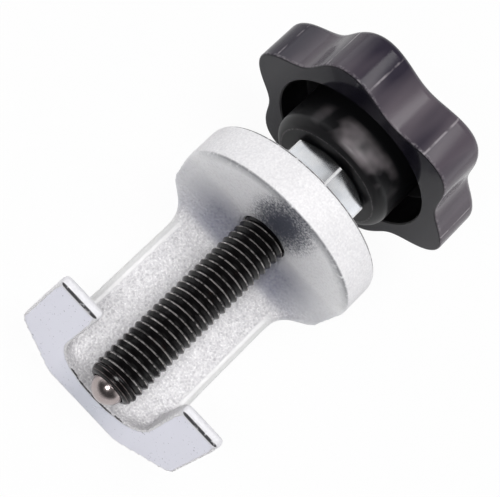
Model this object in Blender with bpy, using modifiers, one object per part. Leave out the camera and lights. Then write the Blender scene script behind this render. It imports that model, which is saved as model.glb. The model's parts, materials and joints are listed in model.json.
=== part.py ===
"""Hand-screw puller for tapered joints: forked cast body, forcing screw with a thrust ball, star knob.

Lengths are in metres. Each piece is drawn about the screw's own axis, local +Z towards the knob, with
z = 0 on top of the body's round head. An empty lays the finished tool on its back, axis along world +Y.
"""
import math

import bmesh
import bpy

# Forcing screw and the thread it shares with the body
SCREW_DIAMETER = 0.0098
PITCH = 0.0015
THREAD_CLEARANCE = 0.0002
SCREW_REACH = 0.0475
NOSE_LENGTH = 0.0030
NOSE_LIP = 0.0004
SHANK_DIAMETER = 0.0078
SHANK_GRIP = 0.0110
THREAD_SEGMENTS = 20

# Thrust ball held in the screw's nose
BALL_DIAMETER = 0.00635
BALL_OUT = 0.0029
BALL_CLEARANCE = 0.00015

# Round head of the body
HEAD_DIAMETER = 0.0400
HEAD_THICKNESS = 0.0079
HEAD_TOP_ROUND = 0.0011
COUNTERSINK = 0.0004

# Web behind the screw, and the shoulders that join it to the head
THROAT = 0.0335
THROAT_FILLET = 0.0075
ROOT_FILLET = 0.0040
BACK_FILLET = 0.0050
WEB_SETBACK = 0.0076
WEB_THICKNESS = 0.0057
WEB_WIDTH = 0.0266
SHOULDER_DROP = 0.0017
SHOULDER_SLOPE = math.radians(29)
SHOULDER_FILLET = 0.0045
FLANK_STEP = 0.00005

# Forked foot with its two wedge jaws
JAW_REACH = 0.0115
JAW_LIP = 0.0021
JAW_BEVEL = math.radians(16.7)
JAW_WIDTH = 0.0091
FOOT_BACK_FLAT = 0.0168
FOOT_SIDE_SLOPE = math.radians(33)
FOOT_CORNER = 0.0030
SLOT_WIDTH = 0.0202
SLOT_DEPTH = 0.0188
SLOT_CORNER = 0.0060
SLOT_END_RADIUS = 0.0160

# Locking nut under the knob
NUT_ACROSS_FLATS = 0.0170
NUT_HEIGHT = 0.0080
NUT_STAND_OFF = 0.0011
NUT_FACE_DIAMETER = 0.0163
NUT_CHAMFER = math.radians(30)

# Star knob and the threaded bush moulded into it
KNOB_DIAMETER = 0.0493
KNOB_LOBES = 6
LOBE_DEPTH = 0.0041
KNOB_HEIGHT = 0.0108
KNOB_TOP_ROUND = 0.0018
KNOB_RIM_ROUND = 0.0004
KNOB_TOP_WALL = 0.0032
KNOB_WALL = 0.0033
BOSS_DIAMETER = 0.0264
BOSS_DROP = 0.0065
BOSS_ROUND = 0.0022
BUSH_DIAMETER = 0.0140
BUSH_GROOVE = 0.0008
BUSH_GROOVE_COUNT = 2

# Gaps between pieces that touch on the real tool
SEAT_GAP = 0.0003
ROUND_SEGMENTS = 48

# Places along the screw axis that follow from the sizes above
HEAD_UNDERSIDE = -HEAD_THICKNESS
JAW_SEAT = HEAD_UNDERSIDE - THROAT
WEB_BACK = WEB_SETBACK + WEB_THICKNESS
FOOT_WIDTH = SLOT_WIDTH + 2 * JAW_WIDTH
FOOT_BOTTOM = JAW_SEAT - JAW_LIP - (JAW_REACH + WEB_BACK) * math.tan(JAW_BEVEL)
NUT_TOP = NUT_STAND_OFF + NUT_HEIGHT
BOSS_BOTTOM = NUT_TOP + SEAT_GAP
KNOB_RIM = BOSS_BOTTOM + BOSS_DROP
KNOB_TOP = KNOB_RIM + KNOB_HEIGHT
SHANK_TOP = BOSS_BOTTOM + SHANK_GRIP
NOSE_END = -SCREW_REACH
BALL_CENTRE = NOSE_END - BALL_OUT + BALL_DIAMETER / 2
THREAD_TOP = NUT_STAND_OFF - SEAT_GAP
THREAD_DEPTH = 0.6134 * PITCH
LOWEST = min(FOOT_BOTTOM, NOSE_END - BALL_OUT)
PAST = 0.002


def clear_scene():
    for old in list(bpy.data.objects):
        bpy.data.objects.remove(old, do_unlink=True)


def new_collection(name):
    made = bpy.data.collections.new(name)
    bpy.context.scene.collection.children.link(made)
    return made


def new_material(name, colour, roughness, metallic):
    made = bpy.data.materials.new(name)
    made.use_nodes = True
    shader = made.node_tree.nodes["Principled BSDF"]
    shader.inputs["Base Color"].default_value = (*colour, 1.0)
    shader.inputs["Roughness"].default_value = roughness
    shader.inputs["Metallic"].default_value = metallic
    made.diffuse_color = (*colour, 1.0)
    return made


def object_from(name, mesh_builder, collection):
    """A mesh object from a bmesh, with its normals outward."""
    bmesh.ops.recalc_face_normals(mesh_builder, faces=mesh_builder.faces)
    mesh = bpy.data.meshes.new(name)
    mesh_builder.to_mesh(mesh)
    mesh_builder.free()
    made = bpy.data.objects.new(name, mesh)
    collection.objects.link(made)
    return made


def as_cutter(tool):
    tool.hide_render = True
    tool.display_type = "WIRE"
    return tool


def turned(name, profile, collection, segments=ROUND_SEGMENTS):
    """A turned solid: profile points (radius, z) run from the axis at the top to the axis at the bottom."""
    mesh = bpy.data.meshes.new(name)
    points = [(radius, 0.0, z) for radius, z in profile]
    mesh.from_pydata(points, [(i, i + 1) for i in range(len(points) - 1)], [])
    made = bpy.data.objects.new(name, mesh)
    collection.objects.link(made)
    screw = made.modifiers.new("Turn", "SCREW")
    screw.steps = segments
    screw.render_steps = segments
    screw.use_merge_vertices = True
    screw.merge_threshold = 0.00001
    return made


def outline_prism(name, points, low, high, collection):
    """A flat closed outline in X and Y, filled and raised from z = low to z = high, as a mesh object."""
    curve = bpy.data.curves.new(name, "CURVE")
    curve.dimensions = "2D"
    curve.fill_mode = "BOTH"
    curve.extrude = (high - low) / 2
    spline = curve.splines.new("POLY")
    spline.points.add(len(points) - 1)
    for point, (x, y) in zip(spline.points, points):
        point.co = (x, y, 0.0, 1.0)
    spline.use_cyclic_u = True
    flat = bpy.data.objects.new(name, curve)
    bpy.context.scene.collection.objects.link(flat)
    graph = bpy.context.evaluated_depsgraph_get()
    mesh = bpy.data.meshes.new_from_object(flat.evaluated_get(graph))
    bpy.data.objects.remove(flat, do_unlink=True)
    builder = bmesh.new()
    builder.from_mesh(mesh)
    bpy.data.meshes.remove(mesh)
    bmesh.ops.remove_doubles(builder, verts=builder.verts, dist=0.000001)
    bmesh.ops.translate(builder, verts=builder.verts, vec=(0.0, 0.0, (low + high) / 2))
    return object_from(name, builder, collection)


def arc(centre, radius, start, end, steps):
    """Points on an arc from the start angle to the end angle, both in radians."""
    points = []
    for i in range(steps + 1):
        angle = start + (end - start) * i / steps
        points.append((centre[0] + radius * math.cos(angle), centre[1] + radius * math.sin(angle)))
    return points


def rounded_corner(before, corner, after, radius, steps=5):
    """The arc that rounds the corner between two straight sides."""
    ahead = math.atan2(after[1] - corner[1], after[0] - corner[0])
    behind = math.atan2(before[1] - corner[1], before[0] - corner[0])
    opening = (ahead - behind + math.pi) % (2 * math.pi) - math.pi
    reach = radius / math.tan(abs(opening) / 2)
    start = (corner[0] + reach * math.cos(behind), corner[1] + reach * math.sin(behind))
    side = 1 if opening > 0 else -1
    centre = (
        start[0] - side * radius * math.sin(behind),
        start[1] + side * radius * math.cos(behind),
    )
    first = math.atan2(start[1] - centre[1], start[0] - centre[0])
    return arc(centre, radius, first, first - side * (math.pi - abs(opening)), steps)


def apply_boolean(target, tool, operation):
    step = target.modifiers.new(operation.title(), "BOOLEAN")
    step.operation = operation
    step.solver = "EXACT"
    step.object = tool


def settle(made, name, collection):
    """A new object that holds the modified shape of another as plain mesh."""
    graph = bpy.context.evaluated_depsgraph_get()
    mesh = bpy.data.meshes.new_from_object(made.evaluated_get(graph))
    mesh.name = name
    settled = bpy.data.objects.new(name, mesh)
    collection.objects.link(settled)
    return settled


def threaded_rod(name, diameter, low, high, collection):
    """A right-hand helical thread, its whole turns counted from z = 0 so that every thread is in step."""
    crest = diameter / 2
    root = crest - THREAD_DEPTH
    flank = THREAD_DEPTH * math.tan(math.radians(30))
    land = PITCH / 8
    gully = PITCH - land - 2 * flank
    first = math.floor(low / PITCH)
    turns = math.ceil(high / PITCH) - first
    rise = gully + flank
    profile = [(root, 0.0), (root, gully), (crest, rise), (crest, rise + land), (root, PITCH)]
    builder = bmesh.new()
    points = [builder.verts.new((radius, 0.0, first * PITCH + z)) for radius, z in profile]
    edges = [builder.edges.new(pair) for pair in zip(points, points[1:])]
    bmesh.ops.spin(
        builder,
        geom=points + edges,
        cent=(0.0, 0.0, 0.0),
        axis=(0.0, 0.0, 1.0),
        dvec=(0.0, 0.0, PITCH / THREAD_SEGMENTS),
        angle=2 * math.pi * turns,
        steps=THREAD_SEGMENTS * turns,
        use_duplicate=False,
    )
    bmesh.ops.remove_doubles(builder, verts=builder.verts, dist=PITCH / 1000)
    ends = bmesh.ops.holes_fill(builder, edges=[e for e in builder.edges if e.is_boundary], sides=0)
    bmesh.ops.poke(builder, faces=ends["faces"])
    return object_from(name, builder, collection)


def slab(name, size, centre, collection):
    builder = bmesh.new()
    bmesh.ops.create_cube(builder, size=1.0)
    bmesh.ops.scale(builder, vec=size, verts=builder.verts)
    bmesh.ops.translate(builder, vec=centre, verts=builder.verts)
    return object_from(name, builder, collection)


def sphere(name, radius, height, collection, segments):
    builder = bmesh.new()
    bmesh.ops.create_uvsphere(builder, u_segments=segments, v_segments=segments // 2, radius=radius)
    bmesh.ops.translate(builder, vec=(0.0, 0.0, height), verts=builder.verts)
    return object_from(name, builder, collection)


def foot_outline():
    """Plan of the foot and of the web that rises from its back, drawn past the back plane that trims both."""
    half = FOOT_WIDTH / 2
    flat = FOOT_BACK_FLAT / 2
    slope = math.tan(FOOT_SIDE_SLOPE)
    side = (half, WEB_BACK - (half - flat) * slope)
    back = (flat - PAST / slope, WEB_BACK + PAST)
    right = [(half, -JAW_REACH)]
    right += rounded_corner((half, -JAW_REACH), side, back, FOOT_CORNER)
    right += [back]
    return right + [(-x, y) for x, y in reversed(right)]


def slot_cutter(cutters):
    """The slot between the two jaws, closed at the back by a shallow arc with rounded corners."""
    half = SLOT_WIDTH / 2
    corner = min(SLOT_CORNER, half)
    end_centre = (0.0, SLOT_DEPTH - JAW_REACH - SLOT_END_RADIUS)
    span = SLOT_END_RADIUS - corner
    lean = math.acos((half - corner) / span)
    corner_y = end_centre[1] + span * math.sin(lean)
    outline = arc((half - corner, corner_y), corner, 0.0, lean, 5)
    outline += arc(end_centre, SLOT_END_RADIUS, lean, math.pi - lean, 8)[1:-1]
    outline += arc((corner - half, corner_y), corner, math.pi - lean, math.pi, 5)
    outline += [(-half, -HEAD_DIAMETER), (half, -HEAD_DIAMETER)]
    top = JAW_SEAT + ROOT_FILLET + PAST
    return as_cutter(outline_prism("slot_cutter", outline, FOOT_BOTTOM - PAST, top, cutters))


def throat_cutter(cutters):
    """The open throat between the head and the jaws, as a side profile swept across the body."""
    front = -HEAD_DIAMETER
    upper = (WEB_SETBACK - THROAT_FILLET, HEAD_UNDERSIDE - THROAT_FILLET)
    lower = (WEB_SETBACK - ROOT_FILLET, JAW_SEAT + ROOT_FILLET)
    profile = [(front, JAW_SEAT)]
    profile += arc(lower, ROOT_FILLET, -math.pi / 2, 0.0, 6)
    profile += arc(upper, THROAT_FILLET, 0.0, math.pi / 2, 9)
    profile += [(front, HEAD_UNDERSIDE)]
    tool = outline_prism("throat_cutter", profile, -FOOT_WIDTH, FOOT_WIDTH, cutters)
    tool.rotation_euler = (math.pi / 2, 0.0, math.pi / 2)
    return as_cutter(tool)


def back_cutter(cutters, distance, turn):
    """A flat back face at a distance from the screw axis, with a fillet under the overhanging head."""
    behind = 2 * HEAD_DIAMETER
    corner = (distance + BACK_FILLET, HEAD_UNDERSIDE - BACK_FILLET)
    profile = [(distance, FOOT_BOTTOM - PAST), (behind, FOOT_BOTTOM - PAST), (behind, HEAD_UNDERSIDE)]
    profile += arc(corner, BACK_FILLET, math.pi / 2, math.pi, 6)
    tool = outline_prism("back_cutter", profile, -FOOT_WIDTH, FOOT_WIDTH, cutters)
    tool.rotation_euler = (math.pi / 2, 0.0, math.pi / 2 + turn)
    return as_cutter(tool)


def side_cutter(cutters, side):
    """The relief beside the web, up to the sloping shoulder under the head."""
    edge = WEB_WIDTH / 2
    outside = FOOT_WIDTH
    brow = HEAD_UNDERSIDE - SHOULDER_DROP
    fall = (HEAD_DIAMETER / 2 - edge) * math.tan(SHOULDER_SLOPE)
    inner = (edge, brow - fall)
    outer = (outside, brow + (outside - HEAD_DIAMETER / 2) * math.tan(SHOULDER_SLOPE))
    profile = [(edge, JAW_SEAT)]
    profile += rounded_corner((edge, JAW_SEAT), inner, outer, SHOULDER_FILLET)
    profile += [outer, (outside, JAW_SEAT)]
    profile = [(side * x, z) for x, z in profile]
    tool = outline_prism("side_cutter", profile, -FOOT_WIDTH, FOOT_WIDTH, cutters)
    tool.rotation_euler = (math.pi / 2, 0.0, 0.0)
    return as_cutter(tool)


def bevel_cutter(cutters):
    """The slope that thins the underside of the jaws to a lip at their front."""
    depth = 2 * (FOOT_WIDTH + WEB_BACK)
    tool = slab("bevel_cutter", (depth, depth, depth), (0.0, 0.0, -depth / 2), cutters)
    tool.location = (0.0, -JAW_REACH, JAW_SEAT - JAW_LIP)
    tool.rotation_euler = (-JAW_BEVEL, 0.0, 0.0)
    return as_cutter(tool)


def tapped_hole_cutter(cutters):
    """A tap a little larger than the screw, with a countersink at each face of the head."""
    bore = SCREW_DIAMETER + 2 * THREAD_CLEARANCE
    tap = threaded_rod("tap", bore, HEAD_UNDERSIDE - PAST, PAST, cutters)
    wide = bore / 2 + COUNTERSINK
    upper = turned("upper_countersink", [(0, PAST), (wide, PAST), (wide, 0), (0, -wide)], cutters)
    lower_face = HEAD_UNDERSIDE
    lower = turned(
        "lower_countersink",
        [(0, lower_face + wide), (wide, lower_face), (wide, lower_face - PAST), (0, lower_face - PAST)],
        cutters,
    )
    return [as_cutter(tap), as_cutter(upper), as_cutter(lower)]


def head_profile():
    """The head with the depth below it that the shoulders and fillets are cut from."""
    radius = HEAD_DIAMETER / 2
    depth = HEAD_UNDERSIDE - max(THROAT_FILLET, BACK_FILLET) - SHOULDER_FILLET
    top = arc((radius - HEAD_TOP_ROUND, -HEAD_TOP_ROUND), HEAD_TOP_ROUND, math.pi / 2, 0.0, 5)
    return [(0.0, 0.0), *top, (radius, depth), (0.0, depth)]


def make_body(parts, cutters):
    """One casting: round tapped head, shoulders, web and forked foot."""
    frame_top = HEAD_UNDERSIDE - THROAT_FILLET / 2
    frame = outline_prism("frame_blank", foot_outline(), FOOT_BOTTOM - PAST, frame_top, cutters)
    flank = WEB_BACK * math.cos(FOOT_SIDE_SLOPE) + FOOT_BACK_FLAT / 2 * math.sin(FOOT_SIDE_SLOPE)
    head = turned("head_blank", head_profile(), cutters, 64)
    for turn in (-FOOT_SIDE_SLOPE, FOOT_SIDE_SLOPE):
        apply_boolean(head, back_cutter(cutters, flank - FLANK_STEP, turn), "DIFFERENCE")
    apply_boolean(head, as_cutter(frame), "UNION")
    shaping = [
        throat_cutter(cutters),
        side_cutter(cutters, 1),
        side_cutter(cutters, -1),
        back_cutter(cutters, WEB_BACK, 0.0),
        slot_cutter(cutters),
        bevel_cutter(cutters),
    ]
    for tool in shaping + tapped_hole_cutter(cutters):
        apply_boolean(head, tool, "DIFFERENCE")
    as_cutter(head)
    return settle(head, "puller_body", parts)


def make_screw(parts, cutters):
    """The forcing screw: full thread, plain shank for the nut and bush, and a nose that holds the ball."""
    crest = SCREW_DIAMETER / 2
    shank = SHANK_DIAMETER / 2
    pocket = BALL_DIAMETER / 2 + BALL_CLEARANCE
    mouth = math.sqrt(max(pocket**2 - (BALL_CENTRE - NOSE_END) ** 2, 0.0))
    tip = mouth + NOSE_LIP
    over = crest + PITCH
    profile = [
        (0.0, SHANK_TOP),
        (shank, SHANK_TOP),
        (shank, THREAD_TOP),
        (over, THREAD_TOP - (over - shank)),
        (over, NOSE_END + NOSE_LENGTH * (over - tip) / (crest - tip)),
        (tip, NOSE_END),
        (0.0, NOSE_END),
    ]
    blank = turned("screw_blank", profile, cutters)
    rod = threaded_rod("screw_rod", SCREW_DIAMETER, NOSE_END - PITCH, SHANK_TOP + PITCH, cutters)
    apply_boolean(rod, as_cutter(blank), "INTERSECT")
    apply_boolean(rod, as_cutter(sphere("ball_pocket", pocket, BALL_CENTRE, cutters, 24)), "DIFFERENCE")
    as_cutter(rod)
    return settle(rod, "forcing_screw", parts)


def make_ball(parts):
    """The hardened ball that bears on the work, so that the turning screw doesn't drag."""
    ball = sphere("thrust_ball", BALL_DIAMETER / 2, 0.0, parts, 20)
    ball.location = (0.0, 0.0, BALL_CENTRE)
    return ball


def make_nut(parts, cutters):
    """Hexagon nut locked against the knob, chamfered on both faces."""
    corner = NUT_ACROSS_FLATS / math.sqrt(3)
    face = min(NUT_FACE_DIAMETER, NUT_ACROSS_FLATS) / 2
    fall = (corner + PAST - face) * math.tan(NUT_CHAMFER)
    bore = SHANK_DIAMETER / 2 + SEAT_GAP
    hexagon = [(corner * math.sin(i * math.pi / 3), -corner * math.cos(i * math.pi / 3)) for i in range(6)]
    prism = outline_prism("nut_prism", hexagon, 0.0, NUT_HEIGHT, cutters)
    dome = turned(
        "nut_dome",
        [
            (0.0, NUT_HEIGHT),
            (face, NUT_HEIGHT),
            (corner + PAST, NUT_HEIGHT - fall),
            (corner + PAST, fall),
            (face, 0.0),
            (0.0, 0.0),
        ],
        cutters,
    )
    hole = turned(
        "nut_hole",
        [(0.0, NUT_HEIGHT + PAST), (bore, NUT_HEIGHT + PAST), (bore, -PAST), (0.0, -PAST)],
        cutters,
        24,
    )
    dome.rotation_euler = (0.0, 0.0, math.pi / ROUND_SEGMENTS)
    apply_boolean(prism, as_cutter(dome), "INTERSECT")
    apply_boolean(prism, as_cutter(hole), "DIFFERENCE")
    as_cutter(prism)
    nut = settle(prism, "jam_nut", parts)
    nut.location = (0.0, 0.0, NUT_STAND_OFF)
    return nut


def lobe_radius(angle):
    """Radius of the star outline, with two lobes astride the side that the tool lies on."""
    half_swing = LOBE_DEPTH / 2
    return KNOB_DIAMETER / 2 - half_swing + half_swing * math.cos(KNOB_LOBES * angle)


def star_outline():
    steps = KNOB_LOBES * 14
    points = []
    for i in range(steps):
        angle = 2 * math.pi * i / steps
        points.append((lobe_radius(angle) * math.cos(angle), lobe_radius(angle) * math.sin(angle)))
    return points


def make_knob(parts, cutters):
    """Moulded star grip, hollow underneath, with a boss that reaches down to the nut."""
    valley = KNOB_DIAMETER / 2 - LOBE_DEPTH
    boss = BOSS_DIAMETER / 2
    cavity = max(valley - KNOB_WALL, boss + KNOB_WALL / 2)
    roof = KNOB_TOP - KNOB_TOP_WALL
    star = outline_prism("star_blank", star_outline(), KNOB_RIM, KNOB_TOP, cutters)
    builder = bmesh.new()
    builder.from_mesh(star.data)
    for height, width, segments in ((KNOB_TOP, KNOB_TOP_ROUND, 3), (KNOB_RIM, KNOB_RIM_ROUND, 1)):
        level = [
            e
            for e in builder.edges
            if all(abs(v.co.z - height) < PITCH / 1000 for v in e.verts) and abs(e.calc_face_angle(0.0)) > 1.0
        ]
        bmesh.ops.bevel(builder, geom=level, offset=width, segments=segments, profile=0.5, affect="EDGES")
    builder.to_mesh(star.data)
    builder.free()
    below = KNOB_RIM - PAST
    hollow = turned("cavity_cutter", [(0.0, roof), (cavity, roof), (cavity, below), (0.0, below)], cutters)
    edge = arc((boss - BOSS_ROUND, BOSS_BOTTOM + BOSS_ROUND), BOSS_ROUND, 0.0, -math.pi / 2, 3)
    middle = (roof + KNOB_TOP) / 2
    stem = turned("boss_blank", [(0.0, middle), (boss, middle), *edge, (0.0, BOSS_BOTTOM)], cutters)
    pocket = BUSH_DIAMETER / 2 + SEAT_GAP
    pocket_top = SHANK_TOP + SEAT_GAP
    hole = turned(
        "bush_pocket",
        [(0.0, pocket_top), (pocket, pocket_top), (pocket, BOSS_BOTTOM - PAST), (0.0, BOSS_BOTTOM - PAST)],
        cutters,
    )
    apply_boolean(star, as_cutter(hollow), "DIFFERENCE")
    apply_boolean(star, as_cutter(stem), "UNION")
    apply_boolean(star, as_cutter(hole), "DIFFERENCE")
    as_cutter(star)
    return settle(star, "star_knob", parts)


def make_bush(parts, cutters):
    """Metal bush moulded into the boss, grooved so that it can't pull out."""
    outer = BUSH_DIAMETER / 2
    bore = SHANK_DIAMETER / 2 + SEAT_GAP
    bands = 2 * BUSH_GROOVE_COUNT + 1
    step = (SHANK_TOP - BOSS_BOTTOM) / bands
    profile = [(0.0, SHANK_TOP)]
    for band in range(bands):
        radius = outer - BUSH_GROOVE if band % 2 else outer
        profile.append((radius, SHANK_TOP - band * step))
        profile.append((radius, SHANK_TOP - (band + 1) * step))
    profile.append((0.0, BOSS_BOTTOM))
    bush = turned("bush_blank", profile, cutters, 32)
    above = SHANK_TOP + PAST
    below = BOSS_BOTTOM - PAST
    hole = turned(
        "bush_bore",
        [(0.0, above), (bore, above), (bore, below), (0.0, below)],
        cutters,
        24,
    )
    apply_boolean(bush, as_cutter(hole), "DIFFERENCE")
    as_cutter(bush)
    return settle(bush, "knob_bush", parts)


def lying_height():
    """Height of the screw axis when the knob lies on two lobes."""
    return max(y for x, y in star_outline())


def main():
    clear_scene()
    parts = new_collection("ball_joint_separator")
    cutters = new_collection("cutters")
    zinc = new_material("zinc_plated_casting", (0.72, 0.73, 0.75), 0.42, 1.0)
    black = new_material("black_oxide_steel", (0.03, 0.03, 0.032), 0.32, 0.8)
    steel = new_material("bright_ball_steel", (0.62, 0.60, 0.58), 0.12, 1.0)
    plated = new_material("zinc_plated_nut", (0.78, 0.79, 0.80), 0.28, 1.0)
    plastic = new_material("black_moulded_plastic", (0.045, 0.042, 0.048), 0.34, 0.0)
    brass = new_material("brass", (0.72, 0.55, 0.26), 0.35, 1.0)

    frame = bpy.data.objects.new("tool_axis", None)
    parts.objects.link(frame)
    frame.rotation_euler = (-math.pi / 2, 0.0, 0.0)
    frame.location = (0.0, -(KNOB_TOP + LOWEST) / 2, lying_height())

    made = (
        (make_body(parts, cutters), zinc),
        (make_screw(parts, cutters), black),
        (make_ball(parts), steel),
        (make_nut(parts, cutters), plated),
        (make_knob(parts, cutters), plastic),
        (make_bush(parts, cutters), brass),
    )
    for piece, material in made:
        piece.data.materials.clear()
        piece.data.materials.append(material)
        piece.data.shade_smooth()
        piece.data.set_sharp_from_angle(angle=math.radians(32))
        piece.parent = frame
    bpy.context.view_layer.update()


main()
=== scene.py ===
"""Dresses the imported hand-screw puller for its picture: bright cast body, black screw, nut and star knob.

Lengths are in metres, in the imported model's frame. The tool lies on its back with the screw's axis along Y:
the knob is at +Y, the fork at -Y, and the open side of the throat looks up.
"""
import json
import math

import bpy
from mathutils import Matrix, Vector


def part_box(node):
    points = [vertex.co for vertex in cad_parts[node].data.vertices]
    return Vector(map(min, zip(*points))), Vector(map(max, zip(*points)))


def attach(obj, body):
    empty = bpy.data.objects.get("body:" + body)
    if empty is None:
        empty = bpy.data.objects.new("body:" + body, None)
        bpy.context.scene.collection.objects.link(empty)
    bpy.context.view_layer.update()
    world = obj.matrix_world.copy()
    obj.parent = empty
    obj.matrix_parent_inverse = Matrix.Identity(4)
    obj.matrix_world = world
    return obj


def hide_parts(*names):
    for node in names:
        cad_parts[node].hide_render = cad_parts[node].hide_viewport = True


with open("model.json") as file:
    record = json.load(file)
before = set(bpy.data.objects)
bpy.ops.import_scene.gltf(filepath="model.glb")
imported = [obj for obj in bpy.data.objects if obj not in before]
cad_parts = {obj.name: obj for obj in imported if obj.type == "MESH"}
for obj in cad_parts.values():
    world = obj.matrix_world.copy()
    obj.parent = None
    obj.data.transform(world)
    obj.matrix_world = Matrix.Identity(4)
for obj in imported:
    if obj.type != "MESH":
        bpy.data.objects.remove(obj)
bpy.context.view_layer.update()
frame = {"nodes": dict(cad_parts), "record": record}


# Body: one iron casting with a round head, a web behind the screw and a forked wedge foot.
# It is blasted and bright zinc plated, so its edges are soft and its skin is a fine silver grain.
# Only the undersides of the jaws are ground smooth; the screw's hole is tapped through the head.
MM = 0.001
BODY_LOW, BODY_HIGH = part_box("puller_body")
AXIS_HEIGHT = (BODY_LOW.z + BODY_HIGH.z) / 2
ALONG_SCREW = (math.pi / 2, 0.0, 0.0)
HEAD_TOP = BODY_HIGH.y
HEAD_RADIUS = (BODY_HIGH.x - BODY_LOW.x) / 2
HEAD_THICKNESS = 7.9 * MM
HEAD_UNDERSIDE = HEAD_TOP - HEAD_THICKNESS
WEB_FRONT = AXIS_HEIGHT - 7.6 * MM
WEB_HALF = 13.3 * MM
JAW_SEAT = frame["record"]["mounts"][0]["pos_m"][1]
JAW_LIP = 2.1 * MM
JAW_BEVEL = math.radians(16.7)
LIP_FRONT = AXIS_HEIGHT + 11.5 * MM
SLOT_HALF = 10.1 * MM
SCREW_RADIUS = 4.9 * MM
BORE_PLAY = 0.12 * MM
BORE_CHAMFER = 0.35 * MM
CAST_GRID = 0.34 * MM
CAST_SOFTENING = 8


def take_up(piece):
    """Makes a piece the only selected and active object."""
    bpy.ops.object.select_all(action="DESELECT")
    piece.select_set(True)
    bpy.context.view_layer.objects.active = piece


def clean_mesh(piece, distance=1e-6):
    """Merges doubled points and turns all faces outwards."""
    take_up(piece)
    bpy.ops.object.mode_set(mode="EDIT")
    bpy.ops.mesh.select_all(action="SELECT")
    bpy.ops.mesh.remove_doubles(threshold=distance)
    bpy.ops.mesh.normals_make_consistent(inside=False)
    bpy.ops.object.mode_set(mode="OBJECT")


def copy_of_node(node, name):
    """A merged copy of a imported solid, as the start of a finer piece."""
    piece = bpy.data.objects.new(name, frame["nodes"][node].data.copy())
    piece.data.name = name
    piece.data.materials.clear()
    bpy.context.scene.collection.objects.link(piece)
    clean_mesh(piece)
    return piece


def apply_modifier(piece, kind, **settings):
    """Adds a modifier to a piece and applies it."""
    take_up(piece)
    modifier = piece.modifiers.new(kind.lower(), kind)
    for name, value in settings.items():
        setattr(modifier, name, value)
    bpy.ops.object.modifier_apply(modifier=modifier.name)


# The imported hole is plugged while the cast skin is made, and is cut again afterwards with clean edges.
casting = copy_of_node("puller_body", "casting")
bpy.ops.object.select_all(action="DESELECT")
bpy.ops.mesh.primitive_cylinder_add(
    vertices=64,
    radius=SCREW_RADIUS + 4 * BORE_CHAMFER,
    depth=HEAD_THICKNESS - BORE_CHAMFER,
    location=(0.0, HEAD_TOP - HEAD_THICKNESS / 2, AXIS_HEIGHT),
    rotation=ALONG_SCREW,
)
casting.select_set(True)
bpy.context.view_layer.objects.active = casting
bpy.ops.object.join()
apply_modifier(casting, "REMESH", mode="VOXEL", voxel_size=CAST_GRID)
apply_modifier(casting, "SMOOTH", factor=0.5, iterations=CAST_SOFTENING)


def share(value, none, full):
    """Where a value lies between none and full, as a share from 0 to 1."""
    return min(max((value - none) / (full - none), 0.0), 1.0)


def above_jaw_underside(place):
    """How far a place stands above the sloping underside of the jaws."""
    drop = (LIP_FRONT - place.z) * math.tan(JAW_BEVEL)
    return (place.y - JAW_SEAT + JAW_LIP + drop) * math.cos(JAW_BEVEL)


# The slot's round inner corners are pressed down towards its floor, and its walls are cut under a little.
SLOT_UNDERCUT = 1.3 * MM
CORNER_RISE = 6.5 * MM
CORNER_LEFT = 0.12
for point in casting.data.vertices:
    lift = point.co.z - WEB_FRONT
    if abs(point.co.x) < SLOT_HALF + 2 * MM and 0.0 < lift < 2 * CORNER_RISE:
        flat = CORNER_LEFT * lift
        if lift > CORNER_RISE:
            flat = 2 * CORNER_RISE - (2 * CORNER_RISE - lift) * (2 - CORNER_LEFT)
        weight = share(above_jaw_underside(point.co), 0.3 * MM, 1.5 * MM)
        weight *= share(abs(point.co.x), SLOT_HALF + 2 * MM, SLOT_HALF + 0.5 * MM)
        weight *= share(point.co.y, JAW_SEAT + 9 * MM, JAW_SEAT + 4 * MM)
        point.co.z += (flat - lift) * weight
        weight *= share(abs(point.co.x), SLOT_HALF - 2.5 * MM, SLOT_HALF - 0.3 * MM)
        weight *= 1.0 - lift / (2 * CORNER_RISE)
        point.co.x += math.copysign(SLOT_UNDERCUT * weight, point.co.x)


def slot_wall(place):
    weight = share(above_jaw_underside(place), 0.3 * MM, 1.2 * MM)
    weight *= share(abs(place.x), SLOT_HALF + 2.4 * MM, SLOT_HALF + 0.9 * MM)
    weight *= share(place.y, JAW_SEAT + 15 * MM, JAW_SEAT + 9 * MM)
    weight *= share(place.z, AXIS_HEIGHT + 8 * MM, AXIS_HEIGHT + 3 * MM)
    weight *= share(place.z, BODY_LOW.z + 8 * MM, BODY_LOW.z + 10 * MM)
    return weight


def web_edge(place):
    weight = share(abs(place.x), WEB_HALF - 2.4 * MM, WEB_HALF - 1.4 * MM)
    weight *= share(place.z, WEB_FRONT - 2.8 * MM, WEB_FRONT - 1.4 * MM)
    weight *= share(place.z, WEB_FRONT + 1.2 * MM, WEB_FRONT + 0.4 * MM)
    weight *= share(place.y, JAW_SEAT + 3 * MM, JAW_SEAT + 6 * MM)
    weight *= share(place.y, HEAD_UNDERSIDE - 6 * MM, HEAD_UNDERSIDE - 9 * MM)
    return weight


def lip_front(place):
    weight = share(place.z, LIP_FRONT - 2.6 * MM, LIP_FRONT - 1.4 * MM)
    weight *= share(place.y, JAW_SEAT + 2 * MM, JAW_SEAT + 1 * MM)
    return weight


# Each of these is smoothed by its own number of rounds, as blasting and plating soften a casting unevenly.
SOFT_PLACES = (("slot_walls", slot_wall, 40), ("web_edges", web_edge, 90), ("lips", lip_front, 24))
for name, weight_at, rounds in SOFT_PLACES:
    group = casting.vertex_groups.new(name=name)
    for point in casting.data.vertices:
        weight = weight_at(point.co)
        if weight > 0.0:
            group.add([point.index], weight, "REPLACE")
    apply_modifier(casting, "SMOOTH", factor=0.5, iterations=rounds, vertex_group=name)


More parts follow.
